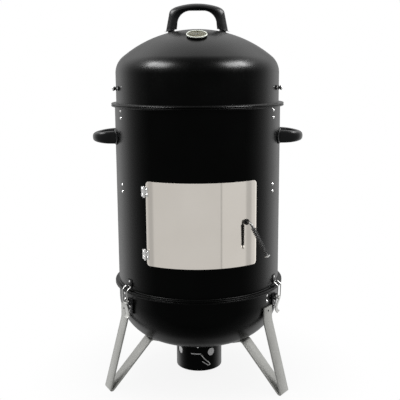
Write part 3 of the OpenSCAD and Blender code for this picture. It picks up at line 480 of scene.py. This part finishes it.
def pan_shell():
    low, high = heights("water_pan")
    t, corner, rim_r, top_r, low_r, flare = 1.2, 16.0, 186.0, 172.0, 150.0, 12
    outside = arc(low_r, low + corner, corner, -90, -flare, 10)
    inside = arc(low_r, low + corner, corner - t, -flare, -90, 10)
    rim = [(top_r, high - t), (rim_r, high - t), (rim_r, high), (top_r - t, high)]
    return revolve([(0, low)] + outside + rim + inside + [(0, low + t)])


# ---------------------------------------------------------------- door

DOOR_FROM = -35.5
DOOR_TO = 41.2
DOOR_R = 204.0
DOOR_CORNER = 8.0
HANDLE_AZ = 32.7
HANDLE_Z = 436.5
HANDLE_LEAN = math.radians(16.4)
HANDLE_SLANT = math.radians(24.5)
ROD_OUT = 222.5
ROD_LEN = 86.0
ROD_R = 2.9


def door_sheet():
    """Curved sheet with rounded corners, as rows of points from its lower edge to its upper edge."""
    low, high = heights("door_panel")
    middle = (DOOR_FROM + DOOR_TO) / 2
    outer = DOOR_R + SHEET
    reach = math.radians(DOOR_TO - DOOR_FROM) / 2 * outer
    quarter = arc(0, 0, DOOR_CORNER, -90, 0, 8)
    rows = [(low + DOOR_CORNER + y, reach - DOOR_CORNER + x) for x, y in quarter]
    straight = [low + DOOR_CORNER + (high - low - 2 * DOOR_CORNER) * i / 12 for i in range(1, 12)]
    rows += [(z, reach) for z in straight]
    rows += [(high - DOOR_CORNER - y, reach - DOOR_CORNER + x) for x, y in quarter[::-1]]
    columns = 72

    def row(z, half, r):
        turn = [middle + math.degrees((2 * i / columns - 1) * half / outer) for i in range(columns + 1)]
        return [place(a, r, 0, z) for a in turn]

    rings = [row(z, half, DOOR_R) + row(z, half, outer)[::-1] for z, half in rows]
    bm = skin(rings, caps=False)
    bm.verts.ensure_lookup_table()
    count = 2 * (columns + 1)  # points of one row, on its inner and its outer face
    for start, flip in ((0, False), ((len(rows) - 1) * count, True)):
        for i in range(columns):
            corners = [bm.verts[start + k] for k in (i, i + 1, count - 2 - i, count - 1 - i)]
            bm.faces.new(corners[::-1] if flip else corners)
    bmesh.ops.recalc_face_normals(bm, faces=bm.faces)
    return worked(bm, bevel(0.45, 3, 50))


def handle_grip():
    """The elbow of the door's latch handle and the direction in which its grip hangs."""
    a = math.radians(HANDLE_AZ)
    out = Vector((math.sin(a), -math.cos(a), 0))
    side = Vector((math.cos(a), math.sin(a), 0))
    down = math.cos(HANDLE_SLANT)
    drop = Vector((0, 0, 1)) * down * math.cos(HANDLE_LEAN)
    grip = out * math.sin(HANDLE_SLANT) + side * down * math.sin(HANDLE_LEAN) - drop
    return place(HANDLE_AZ, ROD_OUT, 0, HANDLE_Z), grip.normalized()


def handle_rod():
    """Round rod from behind the door out to its elbow and down into the grip's cap."""
    inner_r, bend, into_cap = 193, 7, 2
    elbow, grip = handle_grip()
    start = place(HANDLE_AZ, inner_r, 0, HANDLE_Z)
    points = [start, elbow, elbow + grip * (ROD_LEN - into_cap) * MM]
    return tube(smooth_path(points, [bend * MM], 10), ROD_R * MM, 28)


def handle_coil():
    """Helix round the grip, drawn with its pitch, turns and wire."""
    elbow, grip = handle_grip()
    side = grip.orthogonal().normalized()
    other = grip.cross(side)
    turns, pitch, start, r, wire_r, steps_per_turn = 15, 4.3, 13.0, 4.3, 1.35, 26
    steps = steps_per_turn * turns
    path = []
    for i in range(steps + 1):
        a = 2 * math.pi * turns * i / steps
        along = start + pitch * turns * i / steps
        path.append(elbow + (side * math.cos(a) * r + other * math.sin(a) * r + grip * along) * MM)
    return tube(path, wire_r * MM, 10)


# ---------------------------------------------------------------- handles

def rounded_section(half_w, half_h, power):
    """Points of a rounded rectangle between an ellipse (power 2) and a box."""
    n = 28
    points = []
    for k in range(n):
        a = 2 * math.pi * k / n
        c, s = math.cos(a), math.sin(a)
        points.append((half_w * math.copysign(abs(c) ** (2 / power), c),
                       half_h * math.copysign(abs(s) ** (2 / power), s)))
    return points


def side_handle(s):
    """Horizontal D loop on the right (s is 1) or left (s is -1), tall at the wall, round at its outer end."""
    reach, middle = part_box("side_handle_right")[1].x / MM, 620.0
    half_arm, corner, half_len = 7.0, 38.0, 50.0
    wall_half_h, lost_h, easing, sink = 15.5, 5.2, 1.7, 0.6
    wall_power, lost_power = 3.2, 0.9
    taper_r = SHELL_R + 6
    line_r = corner - half_arm
    seat_r = SHELL_R + 3
    arm_y = half_len - half_arm
    start_x = math.sqrt(seat_r ** 2 - half_len ** 2) - 1
    turn_x = reach - corner
    run = [start_x + (turn_x - start_x) * i / 8 for i in range(8)]
    half = [(Vector((x, -arm_y)), Vector((0, -1))) for x in run]
    for i in range(19):
        a = math.radians(-90 + 90 * i / 18)
        way = Vector((math.cos(a), math.sin(a)))
        half.append((Vector((turn_x, -(half_len - corner))) + way * line_r, way))
    mirrored = [(Vector((p.x, -p.y)), Vector((n.x, -n.y))) for p, n in half[::-1]]
    rings = []
    for p, n in half + mirrored:
        share = max(0.0, min(1.0, (p.x - taper_r) / (reach - half_arm - taper_r)))
        half_h = wall_half_h - lost_h * share ** easing
        ring = []
        for w, h in rounded_section(half_arm, half_h, wall_power - lost_power * share):
            x, y = p.x + n.x * w, p.y + n.y * w
            x = max(x, math.sqrt(seat_r ** 2 - y * y)) if p.x < turn_x else x
            ring.append(Vector((s * x, y, middle - sink * share + h)) * MM)
        rings.append(ring)
    return skin(rings)


def spread(points, n):
    """n + 1 points evenly along a polyline."""
    lengths = [0.0]
    for a, b in zip(points, points[1:]):
        lengths.append(lengths[-1] + (b - a).length)
    result, k = [], 0
    for i in range(n + 1):
        want = lengths[-1] * i / n
        while k < len(points) - 2 and lengths[k + 1] < want:
            k += 1
        share = (want - lengths[k]) / (lengths[k + 1] - lengths[k])
        result.append(points[k].lerp(points[k + 1], share))
    return result


def bow_section(width, depth):
    """Outline of the bow from its inner to its outer edge: (distance outward, distance from the middle)."""
    ridge = 0.44 * width
    rest = width - ridge
    front = [(0, 6.4), (0.5, 5.0), (ridge - 0.9, 0.45), (ridge, 0), (ridge + 1.0, 0.15),
             (width - 0.7 * rest, 1.0), (width - 0.45 * rest, 2.6), (width - 0.22 * rest, 4.8),
             (width - 0.06 * rest, 7.2), (width, 9.8)]
    return [(w, y - depth) for w, y in front] + [(w, depth - y) for w, y in front[::-1]]


def lid_handle():
    """Bow over the lid's crown: two legs, rounded shoulders and a crowned, bevelled grip."""
    crest = heights("lid_handle")[1]
    half_w, top_half, sag, depth = 79.5, 65.0, 13.0, 12.0
    foot_z, inner_foot, thick = 850.0, 52.0, 16.5
    bend_r, bend_x = 32.0, 15.5
    bend_down, bend_over = 9, 50.0
    leg_steps, bend_steps, top_steps = 14, 14, 16
    spacer = 4.5
    seat_r = CROWN_R + spacer
    crest_r = (top_half ** 2 + sag ** 2) / (2 * sag)
    crest_cz = crest - crest_r

    def crest_at(x):
        return crest_cz + math.sqrt(crest_r ** 2 - x * x)

    shoulder = Vector((top_half, crest_at(top_half)))
    foot = Vector((half_w, foot_z))
    below = shoulder + (foot - shoulder).normalized() * bend_down
    over = Vector((bend_over, crest_at(bend_over)))
    outer_leg = spread([foot, below], leg_steps)
    outer_bend = [below.lerp(shoulder, t).lerp(shoulder.lerp(over, t), t)
                  for t in [i / bend_steps for i in range(1, bend_steps + 1)]]
    outer_top = [Vector((x, crest_at(x)))
                 for x in [bend_over - bend_over * i / top_steps for i in range(1, top_steps + 1)]]
    inner_top_z = crest - thick
    bend_z = inner_top_z - bend_r
    inner_leg = spread([Vector((inner_foot, foot_z)), Vector((bend_x + bend_r, bend_z))], leg_steps)
    inner_bend = [Vector(q) for q in arc(bend_x, bend_z, bend_r, 0, 90, bend_steps)[1:]]
    inner_top = [Vector((bend_x - bend_x * i / top_steps, inner_top_z)) for i in range(1, top_steps + 1)]
    outer = outer_leg + outer_bend + outer_top
    inner = inner_leg + inner_bend + inner_top
    flip = [(Vector((-o.x, o.y)), Vector((-i.x, i.y))) for o, i in zip(outer, inner)][-2::-1]
    rings = []
    for o, i in list(zip(outer, inner)) + flip:
        across = (o - i).normalized()
        ring = []
        for w, y in bow_section((o - i).length, depth):
            q = i + across * w
            base = CROWN_Z + math.sqrt(seat_r ** 2 - q.x ** 2 - y ** 2)
            ring.append(Vector((q.x, y, max(q.y, base))) * MM)
        rings.append(ring)
    return skin(rings)


# ---------------------------------------------------------------- legs

def leg(az):
    """Folded strap: wall plate, outer leg, foot, inner leg and a tab under the bowl."""
    width, t, polar, foot_r, foot_half = 37.0, 4.0, math.radians(19.3), 251.0, 3
    top_z, fold_z, bowl_centre_z, tab_r, tab_half = 213, 179, 476.6, 385.2, 14
    fold_cut, foot_cut, least_cosine = 7, 2.6, 0.4
    wall_r = SHELL_R + 0.1 + t / 2
    out = Vector((math.sin(polar), -math.cos(polar)))
    along = Vector((math.cos(polar), math.sin(polar)))
    tab = Vector((0, bowl_centre_z)) + out * (tab_r + t / 2)
    points = [Vector((wall_r, top_z)), Vector((wall_r, fold_z)),
              Vector((foot_r + foot_half, t / 2)), Vector((foot_r - foot_half, t / 2)),
              tab + along * tab_half, tab - along * tab_half]
    path = smooth_path(points, (fold_cut, foot_cut, foot_cut, fold_cut))
    rings = []
    for i, p in enumerate(path):
        before = (p - path[i - 1]).normalized() if i else (path[1] - p).normalized()
        after = (path[i + 1] - p).normalized() if i < len(path) - 1 else before
        n = Vector((-(before + after).y, (before + after).x)).normalized()
        stretch = 1 / max(n.dot(Vector((-before.y, before.x))), least_cosine)
        front, back = p + n * t / 2 * stretch, p - n * t / 2 * stretch
        corners = ((front, -width / 2), (front, width / 2), (back, width / 2), (back, -width / 2))
        rings.append([place(az, q.x, w, max(q.y, 0)) for q, w in corners])
    return worked(skin(rings), bevel(0.7, 2, 50))


# ---------------------------------------------------------------- wires

def bent_wire(az, points, bend, r):
    """Wire through points of (shift along the wall, distance, height), every bend rounded alike."""
    path = smooth_path([place(az, out, x, z) for x, out, z in points], repeat(bend * MM), 8)
    return tube(path, r * MM, 14)


def bail(az):
    """Latch wire: two ends in the lever, two arms and a bar that hooks over the catch."""
    end_x, half_w, pivot_r, pivot_z = 3.4, 10.4, 217.5, 227.0
    knee_r, knee_z, bar_r, bar_z = 218.4, 259.0, 207.7, 268.3
    side = [(end_x, pivot_r, pivot_z), (half_w, pivot_r, pivot_z), (half_w, knee_r, knee_z),
            (half_w, bar_r, bar_z)]
    return bent_wire(az, side + [(-x, r, z) for x, r, z in side[::-1]], 2.6, 1.3)


def damper_wire():
    """Hairpin that leaves the slot, drops to the right and turns back."""
    az, slot_z = 5.2, 66.0
    points = [(0, -4.5, 0), (0, 4.5, 0), (8, 5.5, -11), (19, 6, -20), (22, 6, -25), (17, 6, -27.5),
              (2, 5.5, -17)]
    return bent_wire(az, [(x, CUP_R + out, slot_z + z) for x, out, z in points], 2.2, 1.25)


# ---------------------------------------------------------------- thermometer

THERMOMETER_POLAR = 21.2


def bezel():
    """Shallow dish with a rolled lip, bored for the thermometer's stem."""
    r, roll, pocket, bore = 24.6, 1.5, 21.6, 3.3
    base_z, dish_z, lip_z = 2.3, 3.2, 3.8
    profile = ([(bore, base_z), (r - 1.2, base_z), (r - 0.3, base_z + 0.3), (r, dish_z)]
               + arc(r - roll, lip_z, roll, 0, 165, 14)
               + [(pocket, lip_z), (pocket, dish_z), (bore, dish_z)])
    return revolve(profile, 96)


def dial_marks():
    """Raised ink on the dial: a ring of ticks, longer every third."""
    bm = bmesh.new()
    last, sweep, outer, low, high = 27, 270, 18.6, 3.8, 3.86
    for i in range(last + 1):
        a = math.radians(sweep * i / last - sweep / 2)
        inner, half_w = (14.6, 0.34) if i % 3 == 0 else (16.2, 0.2)
        way = Vector((math.sin(a), math.cos(a)))
        side = Vector((way.y, -way.x)) * half_w
        ends = [way * inner - side, way * inner + side, way * outer + side, way * outer - side]
        for z in (low, high):
            for q in ends:
                bm.verts.new(Vector((q.x, q.y, z)) * MM)
        bm.verts.ensure_lookup_table()
        v = bm.verts[-8:]
        for face in ((3, 2, 1, 0), (4, 5, 6, 7), (0, 1, 5, 4), (1, 2, 6, 5), (2, 3, 7, 6), (3, 0, 4, 7)):
            bm.faces.new([v[k] for k in face])
    return bm


# ---------------------------------------------------------------- pieces

lid_piece = piece("lid_shell", lid_shell(), "lid", enamel, ["lid_dome"])
piece("barrel_shell", barrel_shell(), "body", enamel, ["barrel"])
piece("bowl_shell", bowl_shell(), "body", enamel, ["fire_bowl"])
piece("cup_shell", cup_shell(), "body", enamel, ["inlet_cup"])
piece("pan_shell", pan_shell(), "body", pan_enamel, ["water_pan"])
door_piece = piece("door_sheet", door_sheet(), "door", stainless, ["door_panel"])
# The rod's darkened chrome is painted shade, not the rod's own colour
piece("handle_rod", handle_rod(), "door_handle", chrome_painted_shade, ["door_handle_rod"])
piece("handle_coil", handle_coil(), "door_handle", black_steel, ["door_handle_coil"], sharp=70)
piece("lid_bow", lid_handle(), "lid", plastic, ["lid_handle"], sharp=28)
piece("side_grip_right", side_handle(1), "body", plastic, ["side_handle_right"], sharp=50)
piece("side_grip_left", side_handle(-1), "body", plastic, ["side_handle_left"], sharp=50)
piece("damper_wire", damper_wire(), "inlet_damper", wire, ["damper_lever"], sharp=60)
bezel_piece = piece("bezel", bezel(), "lid", bezel_metal, ["thermometer_case"],
                    matrix=on_crown(0, THERMOMETER_POLAR))
piece("dial_marks", dial_marks(), "lid", needle_paint, matrix=on_crown(0, THERMOMETER_POLAR))
for side, az in LEG_AZ.items():
    piece("strap_" + side, leg(az), "body", leg_steel, ["leg_" + side])
for side, az in LATCH_AZ.items():
    name = "latch_bail_" + side
    piece("bail_wire_" + side, bail(az), name, wire, [name], sharp=60)
    softened("latch_lever_" + side, "latch_lever_" + side, plated, 0.35)
for node, width in (("latch_bases", 0.35), ("latch_catches", 0.35), ("side_handle_plates", 0.6),
                    ("hinge_fixed_leaves", 0.25)):
    softened(node, "body", FINISH[slot_of[node]], width)
softened("hinge_door_leaves", "door", chrome, 0.25)


# ---------------------------------------------------------------- studio

ROOM = 0.57
ROOM_SIDE = 0.95
ROOM_BACK = 1.3
ROOM_TOP = 1.2
# Upright bands of the room: azimuth and softness of each side, and the change of brightness.
ROOM_BANDS = ((32, 1.5, 200, 1, 0.035), (31, 1, 32.5, 1, -0.22), (69, 3, 78, 3, -0.16),
              (-72, 3, -64, 3, -0.14))


def room_level(g, way):
    """The room's brightness along a direction, as shiny surfaces see it, its floor included."""
    part = g.node("SeparateXYZ", {0: way}).outputs
    azimuth = g.math("DEGREES", g.math("ARCTAN2", part[0], g.math("MULTIPLY", part[1], -1.0)))
    turned = g.math("ABSOLUTE", azimuth)

    def ramps(value, low, low_soft, high, high_soft):
        """1 between low and high, fading out over a width at each end."""
        rise = g.between(value, low - low_soft / 2, low + low_soft / 2)
        fall = g.between(value, high - high_soft / 2, high + high_soft / 2, 1.0, 0.0)
        return g.math("MULTIPLY", rise, fall)

    side = ramps(turned, 100, 36, 146, 24)
    behind = g.math("MULTIPLY", g.between(part[1], -0.1, 0.25), g.between(part[2], 0.35, 0.75))
    above = g.between(part[2], 0.86, 0.97)
    areas = [(side, ROOM_SIDE), (behind, ROOM_BACK), (above, ROOM_TOP)]
    areas += [(ramps(azimuth, *edges), change) for *edges, change in ROOM_BANDS]
    level = ROOM
    for share, change in areas:
        level = g.math("ADD", level, g.math("MULTIPLY", share, change))
    return g.math("MULTIPLY", level, g.between(part[2], -0.95, -0.55, 0.4, 1.0))


def studio():
    """White backdrop; in reflections the room is grey in front, brighter at both sides and behind."""
    world = bpy.data.worlds.new("studio")
    bpy.context.scene.world = world
    world.use_nodes = True
    g = Graph(world.node_tree)
    level = room_level(g, g.node("TexCoord").outputs["Generated"])
    rays = g.node("LightPath").outputs
    level = g.node("Mix", {0: rays["Is Diffuse Ray"], 2: level, 3: 0.8}, data_type="FLOAT").outputs[0]
    strength = g.node("Mix", {0: rays["Is Camera Ray"], 2: level, 3: 1.0}, data_type="FLOAT").outputs[0]
    shown = g.node("Background", {"Color": (1, 1, 1, 1), "Strength": strength})
    g.node("OutputWorld", {"Surface": shown.outputs[0]})


def softbox(name, az, elevation, wide, tall, power, linked, state):
    """Rectangular light at an azimuth from the front; it lights (INCLUDE) or skips (EXCLUDE) its pieces."""
    aim_z, distance = 0.6, 2.4
    a, e = math.radians(az), math.radians(elevation)
    way = Vector((math.sin(a) * math.cos(e), -math.cos(a) * math.cos(e), math.sin(e)))
    light = bpy.data.lights.new(name, "AREA")
    light.shape, light.size, light.size_y, light.energy = "RECTANGLE", wide, tall, power
    lamp = bpy.data.objects.new(name, light)
    lamp.visible_diffuse = False
    lamp.location = Vector((0, 0, aim_z)) + way * distance
    lamp.rotation_euler = (-way).to_track_quat("-Z", "Y").to_euler()
    bpy.context.scene.collection.objects.link(lamp)
    receivers = bpy.data.collections.new(name + "_receivers")
    for o in linked:
        receivers.objects.link(o)
    for entry in receivers.collection_objects:
        entry.light_linking.link_state = state
    lamp.light_linking.receiver_collection = receivers


def floor_material():
    """Pale matt paper that brightens to the backdrop's white away from the feet."""
    material = bpy.data.materials.new("pale_floor")
    material.use_nodes = True
    g = Graph(material.node_tree)
    position = g.node("NewGeometry").outputs["Position"]
    away = g.node("VectorMath", {0: position}, operation="LENGTH").outputs["Value"]
    fibre = g.between(g.noise(position, 60), *MID_NOISE)
    paper = g.node("BsdfDiffuse", {"Color": g.mix(fibre, (0.88, 0.88, 0.88), (0.9, 0.9, 0.9))}).outputs[0]
    rays = g.node("LightPath").outputs
    white = g.node("Emission", {"Color": (1, 1, 1, 1)}).outputs[0]
    onward = g.node("VectorMath", {0: g.node("NewGeometry").outputs["Incoming"], 3: -1.0}, operation="SCALE")
    level = room_level(g, onward.outputs[0])
    room = g.node("Emission", {"Color": (1, 1, 1, 1), "Strength": level}).outputs[0]
    share = g.math("MULTIPLY", rays["Is Camera Ray"], g.between(away, 0.15, 0.45, 0.88, 1.0))
    shown = g.node("MixShader", {0: share, 1: paper, 2: white}).outputs[0]
    shown = g.node("MixShader", {0: rays["Is Glossy Ray"], 1: shown, 2: room}).outputs[0]
    g.node("OutputMaterial", {"Surface": shown})
    return material


def floor():
    """Wide flat sheet, just under the feet."""
    half_size, gap = 9, 0.2 * MM
    material = floor_material()
    bm = bmesh.new()
    bmesh.ops.create_grid(bm, x_segments=8, y_segments=8, size=half_size)
    mesh = bpy.data.meshes.new("floor")
    bm.to_mesh(mesh)
    bm.free()
    mesh.materials.append(material)
    ground = bpy.data.objects.new("floor", mesh)
    ground.location.z = -gap
    bpy.context.scene.collection.objects.link(ground)


def main_camera():
    """Camera in front of the object, looking slightly down."""
    tilt, roll = 10.65, 0.35
    data = bpy.data.cameras.new("camera")
    data.lens = 65
    data.sensor_width = 36
    camera = bpy.data.objects.new("camera", data)
    camera.location = (0.0068, -1.797, 0.7935)
    camera.rotation_euler = (math.radians(90 - tilt), math.radians(roll), 0)
    bpy.context.scene.collection.objects.link(camera)
    bpy.context.scene.camera = camera


studio()
unlit = [door_piece, bezel_piece, frame["nodes"]["thermometer_lens"], frame["nodes"]["thermometer_dial"]]
softbox("key_left", -61, 41, 1.2, 0.8, 100, unlit, "EXCLUDE")
softbox("key_right", 61, 41, 1.2, 0.8, 120, unlit, "EXCLUDE")
softbox("lid_left", -61, 40, 1.0, 0.7, 280, [lid_piece], "INCLUDE")
softbox("lid_right", 61, 40, 1.0, 0.7, 310, [lid_piece], "INCLUDE")
floor()
main_camera()
bpy.context.scene.view_settings.view_transform = "Standard"

bpy.context.view_layer.update()
